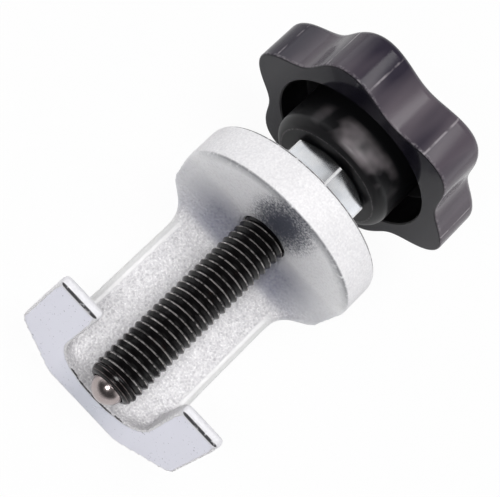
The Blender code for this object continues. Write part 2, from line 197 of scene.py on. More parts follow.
def draw_line(name, points):
    """Draws a line in the screw's side plane by extruding one vertex; points are (radius, place along Y)."""
    places = [Vector((radius, along, AXIS_HEIGHT)) for radius, along in points]
    bpy.ops.object.select_all(action="DESELECT")
    bpy.ops.mesh.primitive_plane_add(size=MM, location=(0.0, 0.0, 0.0))
    piece = bpy.context.object
    piece.name = name
    bpy.ops.object.mode_set(mode="EDIT")
    bpy.ops.mesh.select_mode(type="VERT")
    bpy.ops.mesh.select_all(action="SELECT")
    bpy.ops.mesh.merge(type="CENTER")
    bpy.ops.transform.translate(value=places[0])
    for here, there in zip(places, places[1:]):
        bpy.ops.mesh.extrude_region_move(TRANSFORM_OT_translate={"value": there - here})
    bpy.ops.object.mode_set(mode="OBJECT")
    return piece


def turn_on_axis(name, points, steps):
    """A turned solid: its half section is drawn as a line and spun once round the screw's axis."""
    piece = draw_line(name, points)
    bpy.ops.object.mode_set(mode="EDIT")
    bpy.ops.mesh.select_all(action="SELECT")
    bpy.ops.mesh.spin(
        steps=steps,
        angle=2 * math.pi,
        center=(0.0, 0.0, AXIS_HEIGHT),
        axis=(0.0, 1.0, 0.0),
    )
    bpy.ops.object.mode_set(mode="OBJECT")
    clean_mesh(piece)
    return piece


def combine(piece, tool, operation):
    """Joins a tool shape to a piece or cuts it away, and removes the tool."""
    apply_modifier(piece, "BOOLEAN", object=tool, operation=operation, solver="EXACT")
    bpy.data.objects.remove(tool, do_unlink=True)


bore = SCREW_RADIUS + BORE_PLAY
mouth = bore + BORE_CHAMFER
bore_cutter = turn_on_axis(
    "bore_cutter",
    [
        (0.0, HEAD_UNDERSIDE - 2 * bore),
        (bore, HEAD_UNDERSIDE - 2 * bore),
        (bore, HEAD_TOP - BORE_CHAMFER),
        (mouth, HEAD_TOP),
        (mouth + mouth, HEAD_TOP + mouth),
        (0.0, HEAD_TOP + mouth),
    ],
    96,
)
combine(casting, bore_cutter, "DIFFERENCE")
take_up(casting)
bpy.ops.object.shade_smooth_by_angle(angle=math.radians(50))


class Strand:
    """One value in a material. Arithmetic on it adds Math nodes, and node() adds a node of any other kind."""

    MIX_ENDS = (6, 7)  # a Mix node's two colour inputs
    MIX_RESULT = 2

    def __init__(self, tree, socket):
        self.tree = tree
        self.socket = socket

    def node(self, kind, settings=None, sockets=None, output=0):
        """Adds a node: its settings first, then the values or links of its sockets."""
        made = self.tree.nodes.new(kind)
        for name, value in (settings or {}).items():
            setattr(made, name, value)
        for name, value in (sockets or {}).items():
            if isinstance(value, Strand):
                self.tree.links.new(value.socket, made.inputs[name])
            else:
                made.inputs[name].default_value = value
        return Strand(self.tree, made.outputs[output] if made.outputs else None)

    def math(self, operation, *others, clamp=False):
        sockets = dict(enumerate((self, *others)))
        return self.node("ShaderNodeMath", {"operation": operation, "use_clamp": clamp}, sockets)

    def __add__(self, other):
        return self.math("ADD", other)

    def __mul__(self, other):
        return self.math("MULTIPLY", other)

    def __sub__(self, other):
        return self.math("SUBTRACT", other)

    def __rsub__(self, other):
        return (self * -1.0).math("ADD", other)

    def __truediv__(self, other):
        return self.math("DIVIDE", other)

    def __pow__(self, other):
        return self.math("POWER", other)

    def __abs__(self):
        return self.math("ABSOLUTE")

    __radd__ = __add__
    __rmul__ = __mul__

    def held(self):
        """The value, held between 0 and 1."""
        return self.math("ADD", 0.0, clamp=True)

    def rise(self, none, full):
        """0 at none and before it, 1 at full and past it, even between them; full may be the lower one."""
        return ((self - none) / (full - none)).held()

    def part(self, axis):
        """One of the three numbers of a place or a direction."""
        return self.node("ShaderNodeSeparateXYZ", None, {"Vector": self}, axis)

    def drawn_out(self, scale):
        """Coordinates for a pattern that is drawn out along an axis where the scale is small."""
        return self.node("ShaderNodeMapping", None, {"Vector": self, "Scale": scale})

    def noise(self, size, detail=2.0, roughness=0.5):
        """Cloudy noise with features of about the given size, read from coordinates."""
        sockets = {"Vector": self, "Scale": 1.0 / size, "Detail": detail, "Roughness": roughness}
        return self.node("ShaderNodeTexNoise", None, sockets)

    def relief(self, strength, depth):
        """A normal that shows the value as fine relief."""
        return self.node("ShaderNodeBump", None, {"Strength": strength, "Distance": depth, "Height": self})

    def mix(self, low, high):
        """A colour between low and high, with this value as the share of high."""
        sockets = {"Factor": self}
        for end, colour in zip(self.MIX_ENDS, (low, high)):
            sockets[end] = colour if isinstance(colour, Strand) else (*colour, 1.0)
        return self.node("ShaderNodeMix", {"data_type": "RGBA"}, sockets, self.MIX_RESULT)


def start_finish(name):
    """A new empty material, begun at the piece's own coordinates."""
    material = bpy.data.materials.new(name)
    material.use_nodes = True
    material.node_tree.nodes.clear()
    return Strand(material.node_tree, None).node("ShaderNodeTexCoord", output="Object")


def lay_finish(piece, place, shader):
    """Sends a shader to the output of its material and gives the material to a piece."""
    place.node("ShaderNodeOutputMaterial", None, {"Surface": shader})
    material = next(m for m in bpy.data.materials if m.node_tree == place.tree)
    piece.data.materials.clear()
    piece.data.materials.append(material)


def distance_from_axis(place):
    """How far a place is from the screw's axis."""
    across = place.part("X")
    up = place.part("Z") - AXIS_HEIGHT
    return (across * across + up * up) ** 0.5


def zinc_casting():
    """Silver cast grain with painted glints, ground jaws, a painted shade patch under the head, painted shade
    in the fillets, on the web's sides and along fine lines, and painted light on the underside and the web's
    edges.
    """
    dull_zinc, bright_zinc = (0.60, 0.585, 0.61), (0.98, 0.965, 0.975)
    ground_steel, ground_middle, pit = (0.79, 0.79, 0.87), (0.60, 0.62, 0.69), (0.20, 0.20, 0.24)
    painted_underside_light, painted_recess_shade, painted_shade_black = (0.99, 0.99, 1.0), (0.29, 0.295, 0.365), (0.038, 0.046, 0.080)
    lip_plate, painted_rim_shade, painted_line_shade = (0.76, 0.755, 0.79), (0.16, 0.16, 0.19), (0.02, 0.018, 0.022)
    painted_edge_highlight, painted_side_shade = (0.99, 0.98, 0.98), (0.80, 0.80, 0.785)
    skin_depth = 0.15 * MM

    place = start_finish("bright zinc on cast iron")
    facing = place.node("ShaderNodeTexCoord", output="Normal")
    across = place.part("X")
    along = place.part("Y")
    height = place.part("Z")
    from_axis = distance_from_axis(place)
    to_side = abs(across)

    def turned_to(normal):
        """1 where the surface faces a direction squarely, 0 where it stands edge on."""
        sockets = {0: facing, 1: normal}
        return facing.node("ShaderNodeVectorMath", {"operation": "DOT_PRODUCT"}, sockets, "Value")

    fine = place.noise(0.36 * MM, 0.0)
    grain = place.noise(0.48 * MM, 0.0)
    blotch = place.noise(4.5 * MM, 3.0)
    # Painted glints: sparse white specks added to the colour of the rough cast.
    painted_glint = place.noise(0.42 * MM, 1.0).rise(0.58, 0.70)
    speck = place.noise(0.45 * MM, 1.0).rise(0.70, 0.75)
    broken = place.noise(1.3 * MM, 3.0, 0.6).rise(0.30, 0.44)

    # The foot: ground undersides, cast lips, and a painted shade line along the edge between them.
    foot = 1.0 - along.rise(JAW_SEAT + 0.5 * MM, JAW_SEAT + 2.0 * MM)
    ground = turned_to((0.0, -math.cos(JAW_BEVEL), math.sin(JAW_BEVEL))).rise(0.965, 0.99) * foot
    cast = 1.0 - ground
    lip = height.rise(LIP_FRONT - 1.2 * MM, LIP_FRONT - 0.5 * MM) * foot
    half_bevel = (math.pi / 2 + JAW_BEVEL) / 2
    jaw_edge = turned_to((0.0, -math.cos(half_bevel), math.sin(half_bevel))).rise(0.925, 0.965) * foot

    # The head: its rim, the rim's lower and upper edges, which get painted shade lines, and its underside
    # with a painted shade patch, painted light and painted shade in the fillets.
    to_fork = turned_to((0.0, -1.0, 0.0))
    to_knob = turned_to((0.0, 1.0, 0.0))
    rim = from_axis.rise(HEAD_RADIUS - 0.6 * MM, HEAD_RADIUS - 0.3 * MM)
    rim *= along.rise(HEAD_UNDERSIDE, HEAD_UNDERSIDE + 0.5 * MM)
    rim_edge = abs(along - HEAD_UNDERSIDE).rise(0.50 * MM, 0.20 * MM)
    rim_edge *= from_axis.rise(HEAD_RADIUS - 0.50 * MM, HEAD_RADIUS - 0.30 * MM)
    rim_edge *= height.rise(AXIS_HEIGHT + 4 * MM, AXIS_HEIGHT + 13 * MM)
    top_edge = to_knob.rise(0.40, 0.50) * (1.0 - to_knob.rise(0.68, 0.78))
    top_edge *= from_axis.rise(HEAD_RADIUS - 1.3 * MM, HEAD_RADIUS - 0.9 * MM)
    top_edge *= height.rise(AXIS_HEIGHT + 2 * MM, AXIS_HEIGHT + 8 * MM)
    top_edge *= along.rise(HEAD_UNDERSIDE, HEAD_TOP - 2 * MM)
    # Painted shade: a soft, broken dark band on the underside along the rim's front edge.
    rim_shade = from_axis.rise(HEAD_RADIUS - 2.3 * MM, HEAD_RADIUS - 0.5 * MM) * to_fork.rise(0.2, 0.6)
    rim_shade *= along.rise(HEAD_UNDERSIDE - 2 * MM, HEAD_UNDERSIDE - 1 * MM)
    rim_shade *= height.rise(AXIS_HEIGHT + 3 * MM, AXIS_HEIGHT + 13 * MM)
    rim_shade *= 0.35 + broken * 0.65
    under_head = to_fork.rise(0.45, 0.75)
    under_head *= along.rise(HEAD_UNDERSIDE - 7 * MM, HEAD_UNDERSIDE - 5 * MM)
    # Painted shade and dark reflection: a dark speckled patch on the underside between the screw and the
    # rim's front.
    from_shade_patch = (across * across + (height - AXIS_HEIGHT - 11.0 * MM) ** 2.0 * 0.35) ** 0.5
    painted_shade_patch = from_shade_patch.rise(8.2 * MM, 1.6 * MM) * under_head
    painted_shade_patch *= height.rise(AXIS_HEIGHT - 2 * MM, AXIS_HEIGHT + 4 * MM)
    painted_shade_patch = (painted_shade_patch * 1.3 + (fine - 0.5) * 1.6).rise(0.0, 1.05) * painted_shade_patch.rise(0.0, 0.45) * 0.94
    # Painted shade in the fillet between the head's underside and the web, strongest near the middle; it is
    # also made rougher.
    shaded_recess = along.rise(HEAD_UNDERSIDE - 6.6 * MM, HEAD_UNDERSIDE - 4.6 * MM) * to_fork.rise(0.10, 0.50)
    shaded_recess *= 1.0 - height.rise(AXIS_HEIGHT - 4 * MM, AXIS_HEIGHT + 2 * MM)
    shaded_recess *= 1.0 - to_side.rise(9 * MM, 17 * MM) * 0.7

    # The web: its rough face, and its long edges, which are smoother, with a painted highlight line on the
    # rounding and painted shade on the outer band.
    web = height.rise(WEB_FRONT - 3 * MM, WEB_FRONT - 2 * MM)
    web *= 1.0 - height.rise(WEB_FRONT + 0.3 * MM, WEB_FRONT + 0.8 * MM)
    web *= along.rise(JAW_SEAT + 1 * MM, JAW_SEAT + 3 * MM)
    web *= 1.0 - along.rise(HEAD_UNDERSIDE - 9 * MM, HEAD_UNDERSIDE - 6 * MM)
    web_side = to_side.rise(WEB_HALF - 1.15 * MM, WEB_HALF - 0.90 * MM) * web
    web_rounding = to_side.rise(WEB_HALF - 1.95 * MM, WEB_HALF - 1.60 * MM) * web - web_side
    web_face = height.rise(WEB_FRONT - 1.0 * MM, WEB_FRONT - 0.5 * MM)
    web_face *= height.rise(WEB_FRONT + 4 * MM, WEB_FRONT + 1 * MM)

    rough_cast = cast * (1.0 - rim * 0.60) * (1.0 - lip * 0.6) * (1.0 - (web_side + web_rounding) * 0.7)
    tone = ((grain - 0.5) * 0.8 + (fine - 0.5) * 0.8) * (0.08 + rough_cast * 0.92)
    tone = tone + (blotch - 0.5) * 0.3 + 0.70 + rim * 0.06
    tone = tone - web_face * 0.32 + painted_glint * rough_cast * 0.6
    colour = tone.held().mix(dull_zinc, bright_zinc)
    colour = ground.mix(colour, ground_steel)
    colour = (ground * to_side.rise(9 * MM, 2 * MM) * 0.75).mix(colour, ground_middle)
    # Painted light: the head's underside, which faces away from the lamps, is made lighter.
    colour = (under_head * (0.45 + grain * 0.7)).mix(colour, painted_underside_light)
    colour = (shaded_recess * (0.75 + grain * 0.3)).mix(colour, painted_recess_shade)
    colour = (lip * 0.6).mix(colour, lip_plate)
    colour = (web_rounding * 0.8).mix(colour, painted_edge_highlight)
    colour = (web_side * 0.7).mix(colour, painted_side_shade)
    colour = (rim_shade * 0.55).mix(colour, painted_rim_shade)
    colour = painted_shade_patch.mix(colour, painted_shade_black)
    colour = (speck * ground * 0.6).mix(colour, pit)
    # Painted shade: broken dark lines on the lips' lower edges and on the rim's lower and upper edges.
    shade_line = (jaw_edge * 0.95 + rim_edge * 0.35 + top_edge * 0.8) * broken
    colour = shade_line.held().mix(colour, painted_line_shade)
    shader = place.node(
        "ShaderNodeBsdfPrincipled",
        None,
        {
            "Base Color": colour,
            "Metallic": 0.09 + ground * 0.76 + under_head * 0.24,
            "Roughness": 0.30 + cast * 0.11 + (blotch - 0.5) * 0.10 + shaded_recess * 0.20 + rim * 0.18,
            "Normal": ((grain + fine * 0.5) * (0.02 + rough_cast * 0.98)).relief(1.0, skin_depth),
        },
    )
    return place, shader


lay_finish(casting, *zinc_casting())
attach(casting, "body")
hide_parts("puller_body")


# Forcing screw: an M10 steel screw with a full coarse thread, black oxide finished and oiled.
# Its thread is rolled, the plain shank above it carries nut and knob, and its nose is turned to a cone
# with a socket that holds the ball. The crests are rubbed bright where they run in the body.
SCREW_LOW, SCREW_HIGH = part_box("forcing_screw")
PITCH = 1.5 * MM
THREAD_DEPTH = 0.52 * MM
THREAD_POINTS = 12
THREAD_STEPS = 56
THREAD_START = 0.05
FLANK_CURVE = 1.1
THREAD_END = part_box("jam_nut")[0].y - 0.3 * MM
SHANK_RADIUS = 3.9 * MM
NOSE_END = SCREW_LOW.y
NOSE_LENGTH = 3.0 * MM
NOSE_RADIUS = 3.71 * MM
SOCKET_LIP = 0.38 * MM
SOCKET_DEPTH = 1.2 * MM
first_turn = math.floor((NOSE_END - HEAD_TOP) / PITCH) - 1
last_turn = math.ceil((THREAD_END - HEAD_TOP) / PITCH) + 1
ridge_foot = HEAD_TOP + first_turn * PITCH
ridge = []
for step in range(THREAD_POINTS + 1):
    fall = abs(2 * step / THREAD_POINTS - 1)
    along = PITCH * (THREAD_START + step / THREAD_POINTS)
    ridge.append((SCREW_RADIUS - THREAD_DEPTH * fall**FLANK_CURVE, ridge_foot + along))
screw = draw_line("turned_screw", ridge)
for point in screw.data.vertices:
    point.co.z -= AXIS_HEIGHT
apply_modifier(
    screw,
    "SCREW",
    axis="Y",
    angle=2 * math.pi,
    screw_offset=PITCH,
    iterations=last_turn - first_turn,
    steps=THREAD_STEPS,
    render_steps=THREAD_STEPS,
    use_merge_vertices=True,
    merge_threshold=1e-6,
)
clean_mesh(screw)
for point in screw.data.vertices:
    around = math.hypot(point.co.x, point.co.z)
    to_full = 1.0 - share(point.co.y, NOSE_END, NOSE_END + NOSE_LENGTH)
    nose_limit = NOSE_RADIUS + (SCREW_RADIUS - NOSE_RADIUS) * math.sqrt(1.0 - to_full**2)
    shank_limit = SHANK_RADIUS + max(THREAD_END - point.co.y, 0.0)
    limit = min(nose_limit, shank_limit)
    if around > limit:
        point.co.x *= limit / around
        point.co.z *= limit / around
    point.co.z += AXIS_HEIGHT
take_up(screw)
bpy.ops.object.mode_set(mode="EDIT")
for end, at_shank in ((NOSE_END, False), (THREAD_END, True)):
    bpy.ops.mesh.select_all(action="SELECT")
    bpy.ops.mesh.bisect(
        plane_co=(0.0, end, AXIS_HEIGHT),
        plane_no=(0.0, 1.0, 0.0),
        threshold=1e-7,
        use_fill=True,
        clear_inner=not at_shank,
        clear_outer=at_shank,
    )
    if at_shank:
        shank = (0.0, SCREW_HIGH.y - THREAD_END, 0.0)
        bpy.ops.mesh.extrude_region_move(TRANSFORM_OT_translate={"value": shank})
    else:
        bpy.ops.mesh.inset(thickness=SOCKET_LIP)
        bpy.ops.mesh.extrude_region_move(TRANSFORM_OT_translate={"value": (0.0, SOCKET_DEPTH, 0.0)})
bpy.ops.object.mode_set(mode="OBJECT")
clean_mesh(screw)
take_up(screw)
bpy.ops.object.shade_smooth_by_angle(angle=math.radians(40))


def black_oxide():
    """Oily black, with bright broken crests, turning rings on the nose and a little rust."""
    black, nose_black, rust_red = (0.0035, 0.0030, 0.0033), (0.006, 0.0045, 0.005), (0.085, 0.030, 0.020)
    ring_metal, bare_steel = (0.42, 0.36, 0.35), (0.72, 0.68, 0.66)
    ring_gap = 0.8 * MM

    place = start_finish("oiled black oxide")
    along = place.part("Y")
    film = place.noise(1.6 * MM, 4.0, 0.6)
    fine = place.noise(0.18 * MM, 2.0)
    crest = distance_from_axis(place).rise(SCREW_RADIUS - 0.10 * MM, SCREW_RADIUS - 0.02 * MM)
    worn = crest * (0.04 + place.noise(1.1 * MM, 4.0, 0.7).rise(0.43, 0.60) * 0.95)
    nose = along.rise(NOSE_END + 1.8 * MM, NOSE_END + 0.5 * MM)
    ring = abs(((along - NOSE_END) / ring_gap).math("FRACT") - 0.5).rise(0.14, 0.04)
    ring *= along.rise(NOSE_END + 2.6 * MM, NOSE_END + 2.4 * MM)
    ring *= along.rise(NOSE_END, NOSE_END + 0.2 * MM)
    rust = film.rise(0.62, 0.78) * fine.rise(0.45, 0.70) * 0.5
    colour = nose.mix(black, nose_black)
    colour = rust.mix(colour, rust_red)
    colour = (ring * film.rise(0.35, 0.60) * 0.3).mix(colour, ring_metal)
    colour = worn.mix(colour, bare_steel)
    shader = place.node(
        "ShaderNodeBsdfPrincipled",
        None,
        {
            "Base Color": colour,
            "Metallic": worn,
            "Roughness": 0.17 + (film - 0.5) * 0.16 + nose * 0.04,
            "Specular IOR Level": 0.25,
            "Normal": fine.relief(0.3, 0.02 * MM),
        },
    )
    return place, shader


lay_finish(screw, *black_oxide())
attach(screw, "screw_set")
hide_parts("forcing_screw")


# Thrust ball: a hardened bearing ball, rolled into the screw's nose so that it can turn.
# It is bare steel, polished, with faint rolling marks.
BALL_LOW, BALL_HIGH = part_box("thrust_ball")
BALL_RADIUS = (BALL_HIGH.y - BALL_LOW.y) / 2
BALL_CENTRE = Vector((0.0, (BALL_LOW.y + BALL_HIGH.y) / 2, AXIS_HEIGHT))
bpy.ops.object.select_all(action="DESELECT")
bpy.ops.mesh.primitive_uv_sphere_add(
    segments=64,
    ring_count=48,
    radius=BALL_RADIUS,
    location=BALL_CENTRE,
    rotation=ALONG_SCREW,
)
ball = bpy.context.object
ball.name = "nose_ball"
bpy.ops.object.transform_apply(location=True, rotation=True, scale=True)
bpy.ops.object.shade_smooth()


def polished_steel():
    """Warm bare steel with fine marks that run along the screw."""
    dark_steel, light_steel = (0.40, 0.345, 0.335), (0.50, 0.435, 0.425)

    place = start_finish("polished ball steel")
    scratch = place.drawn_out((1.0, 0.15, 1.0)).noise(0.25 * MM, 3.0)
    colour = place.noise(2.2 * MM, 2.0).mix(dark_steel, light_steel)
    roughness = 0.20 + scratch.rise(0.45, 0.75) * 0.08
    shader = place.node(
        "ShaderNodeBsdfPrincipled",
        None,
        {"Base Color": colour, "Metallic": 1.0, "Roughness": roughness},
    )
    return place, shader


lay_finish(ball, *polished_steel())
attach(ball, "ball")
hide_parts("thrust_ball")


# Lock nut: a standard hexagon nut, cold formed and chamfered on both faces, bright zinc plated
# with a faint blue passivation. It is run up against the knob and stands just clear of the body.
NUT_LOW, NUT_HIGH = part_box("jam_nut")
NUT_CORNER = (NUT_HIGH.z - NUT_LOW.z) / 2
NUT_FLAT = NUT_CORNER * math.cos(math.pi / 6)
NUT_FACE = NUT_FLAT * 0.98
NUT_CHAMFER = math.radians(30)
NUT_BORE = SHANK_RADIUS + 0.3 * MM
NUT_SINK = 0.6 * MM
NUT_EDGE = 0.13 * MM
OVERSHOOT = 2 * MM
bpy.ops.object.select_all(action="DESELECT")
bpy.ops.mesh.primitive_cylinder_add(
    vertices=6,
    radius=NUT_CORNER,
    depth=NUT_HIGH.y - NUT_LOW.y,
    location=(0.0, (NUT_LOW.y + NUT_HIGH.y) / 2, AXIS_HEIGHT),
    rotation=ALONG_SCREW,
)
nut = bpy.context.object
nut.name = "hexagon_nut"
bpy.ops.object.transform_apply(location=True, rotation=True, scale=True)
chamfer_fall = (NUT_CORNER + OVERSHOOT - NUT_FLAT) * math.tan(NUT_CHAMFER)
chamfers = turn_on_axis(
    "nut_chamfers",
    [
        (0.0, NUT_LOW.y),
        (NUT_FACE, NUT_LOW.y),
        (NUT_CORNER + OVERSHOOT, NUT_LOW.y + chamfer_fall),
        (NUT_CORNER + OVERSHOOT, NUT_HIGH.y - chamfer_fall),
        (NUT_FACE, NUT_HIGH.y),
        (0.0, NUT_HIGH.y),
    ],
    120,
)
combine(nut, chamfers, "INTERSECT")
nut_hole = turn_on_axis(
    "nut_hole",
    [
        (0.0, NUT_LOW.y - OVERSHOOT),
        (NUT_BORE + NUT_SINK + OVERSHOOT, NUT_LOW.y - OVERSHOOT),
        (NUT_BORE, NUT_LOW.y + NUT_SINK),
        (NUT_BORE, NUT_HIGH.y - NUT_SINK),
        (NUT_BORE + NUT_SINK + OVERSHOOT, NUT_HIGH.y + OVERSHOOT),
        (0.0, NUT_HIGH.y + OVERSHOOT),
    ],
    72,
)
combine(nut, nut_hole, "DIFFERENCE")
apply_modifier(nut, "BEVEL", width=NUT_EDGE, segments=3, limit_method="ANGLE", angle_limit=math.radians(20))
take_up(nut)
bpy.ops.object.shade_smooth_by_angle(angle=math.radians(30))


def zinc_plate():
    """Bright plate with faint streaks, paler and matt on the six corners."""
    blue_zinc, white_zinc, corner_zinc = (0.76, 0.78, 0.81), (0.90, 0.90, 0.90), (0.95, 0.95, 0.95)

    place = start_finish("bright zinc plate")
    streak = place.drawn_out((1.0, 0.2, 1.0)).noise(0.6 * MM, 3.0)
    cloud = place.noise(3.0 * MM, 3.0)
    corner = distance_from_axis(place).rise(NUT_CORNER - 0.22 * MM, NUT_CORNER - 0.06 * MM)
    colour = cloud.rise(0.30, 0.70).mix(blue_zinc, white_zinc)
    colour = corner.mix(colour, corner_zinc)
    shader = place.node(
        "ShaderNodeBsdfPrincipled",
        None,
        {
            "Base Color": colour,
            "Metallic": 1.0 - corner * 0.6,
            "Roughness": 0.12 + streak * 0.12 + corner * 0.30,
            "Normal": streak.relief(0.05, 0.02 * MM),
        },
    )
    return place, shader


lay_finish(nut, *zinc_plate())
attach(nut, "screw_set")
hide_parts("jam_nut")


# Star knob: one black plastic moulding with six lobes, hollow from below so that its walls stay even.
# A round boss in the middle reaches down to the nut and holds the metal bush.
KNOB_LOW, KNOB_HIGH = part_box("star_knob")
KNOB_RADIUS = (KNOB_HIGH.x - KNOB_LOW.x) / 2
KNOB_TOP = KNOB_HIGH.y
KNOB_RIM = KNOB_TOP - 10.8 * MM
KNOB_TOP_ROUND = 1.8 * MM
KNOB_RIM_ROUND = 0.45 * MM
KNOB_WALL = 3.3 * MM
LOBES = 6
LOBE_DEPTH = 4.1 * MM
LOBE_POINTS = 40
CAVITY_RADIUS = KNOB_RADIUS - LOBE_DEPTH - KNOB_WALL
CAVITY_ROOF = KNOB_TOP - 3.2 * MM
CAVITY_CHAMFER = 0.25 * MM
ROOT_ROUND = 1.0 * MM
ROOT_MIDDLE = 0.3 * ROOT_ROUND
BOSS_RADIUS = 13.2 * MM
BOSS_BOTTOM = KNOB_LOW.y
BOSS_ROUND = 2.2 * MM
BOSS_ROUND_STEPS = 6
BUSH_LOW, BUSH_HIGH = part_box("knob_bush")
BUSH_PLAY = 0.3 * MM
BUSH_POCKET = (BUSH_HIGH.x - BUSH_LOW.x) / 2 + BUSH_PLAY
bpy.ops.object.select_all(action="DESELECT")
bpy.ops.mesh.primitive_circle_add(
    vertices=LOBES * LOBE_POINTS,
    radius=KNOB_RADIUS,
    fill_type="NGON",
    location=(0.0, KNOB_RIM, AXIS_HEIGHT),
    rotation=ALONG_SCREW,
)
knob = bpy.context.object
knob.name = "star_grip"
bpy.ops.object.transform_apply(location=True, rotation=True, scale=True)
for point in knob.data.vertices:
    angle = math.atan2(point.co.z - AXIS_HEIGHT, point.co.x)
    dip = LOBE_DEPTH / 2 * (1 - math.cos(LOBES * angle))
    point.co.x = (KNOB_RADIUS - dip) * math.cos(angle)
    point.co.z = AXIS_HEIGHT + (KNOB_RADIUS - dip) * math.sin(angle)
bpy.ops.object.mode_set(mode="EDIT")
bpy.ops.mesh.select_all(action="SELECT")
bpy.ops.mesh.extrude_region_move(TRANSFORM_OT_translate={"value": (0.0, KNOB_TOP - KNOB_RIM, 0.0)})
bpy.ops.object.mode_set(mode="OBJECT")
clean_mesh(knob)


def select_edges(piece, wanted):
    """Enters edit mode with only the edges selected whose two ends the test accepts."""
    take_up(piece)
    bpy.ops.object.mode_set(mode="EDIT")
    bpy.ops.mesh.select_mode(type="EDGE")
    bpy.ops.mesh.select_all(action="DESELECT")
    bpy.ops.object.mode_set(mode="OBJECT")
    for edge in piece.data.edges:
        edge.select = all(wanted(piece.data.vertices[i].co) for i in edge.vertices)
    bpy.ops.object.mode_set(mode="EDIT")


for level, width, segments in ((KNOB_TOP, KNOB_TOP_ROUND, 6), (KNOB_RIM, KNOB_RIM_ROUND, 3)):
    select_edges(knob, lambda place: abs(place.y - level) < 0.01 * MM)
    bpy.ops.mesh.bevel(offset=width, segments=segments, profile=0.5)
    bpy.ops.object.mode_set(mode="OBJECT")
hollow = turn_on_axis(
    "knob_hollow",
    [
        (0.0, CAVITY_ROOF),
        (CAVITY_RADIUS - ROOT_ROUND, CAVITY_ROOF),
        (CAVITY_RADIUS - ROOT_MIDDLE, CAVITY_ROOF - ROOT_MIDDLE),
        (CAVITY_RADIUS, CAVITY_ROOF - ROOT_ROUND),
        (CAVITY_RADIUS, KNOB_RIM + CAVITY_CHAMFER),
        (CAVITY_RADIUS + CAVITY_CHAMFER, KNOB_RIM),
        (CAVITY_RADIUS + CAVITY_CHAMFER, KNOB_RIM - OVERSHOOT),
        (0.0, KNOB_RIM - OVERSHOOT),
    ],
    120,
)
combine(knob, hollow, "DIFFERENCE")
boss_edge = []
for step in range(BOSS_ROUND_STEPS + 1):
    turn = math.pi / 2 * step / BOSS_ROUND_STEPS
    out = BOSS_RADIUS - BOSS_ROUND + BOSS_ROUND * math.cos(turn)
    down = BOSS_BOTTOM + BOSS_ROUND - BOSS_ROUND * math.sin(turn)
    boss_edge.append((out, down))
boss = turn_on_axis(
    "knob_boss",
    [
        (0.0, (CAVITY_ROOF + KNOB_TOP) / 2),
        (BOSS_RADIUS + ROOT_ROUND, (CAVITY_ROOF + KNOB_TOP) / 2),
        (BOSS_RADIUS + ROOT_ROUND, CAVITY_ROOF),
        (BOSS_RADIUS + ROOT_MIDDLE, CAVITY_ROOF - ROOT_MIDDLE),
        (BOSS_RADIUS, CAVITY_ROOF - ROOT_ROUND),
        *boss_edge,
        (0.0, BOSS_BOTTOM),
    ],
    120,
)
combine(knob, boss, "UNION")
bush_pocket = turn_on_axis(
    "bush_pocket",
    [
        (0.0, BUSH_HIGH.y + BUSH_PLAY),
        (BUSH_POCKET, BUSH_HIGH.y + BUSH_PLAY),
        (BUSH_POCKET, BOSS_BOTTOM - OVERSHOOT),
        (0.0, BOSS_BOTTOM - OVERSHOOT),
    ],
    72,
)
combine(knob, bush_pocket, "DIFFERENCE")
take_up(knob)
bpy.ops.object.shade_smooth_by_angle(angle=math.radians(35))
apply_modifier(knob, "WEIGHTED_NORMAL", weight=80, keep_sharp=True)


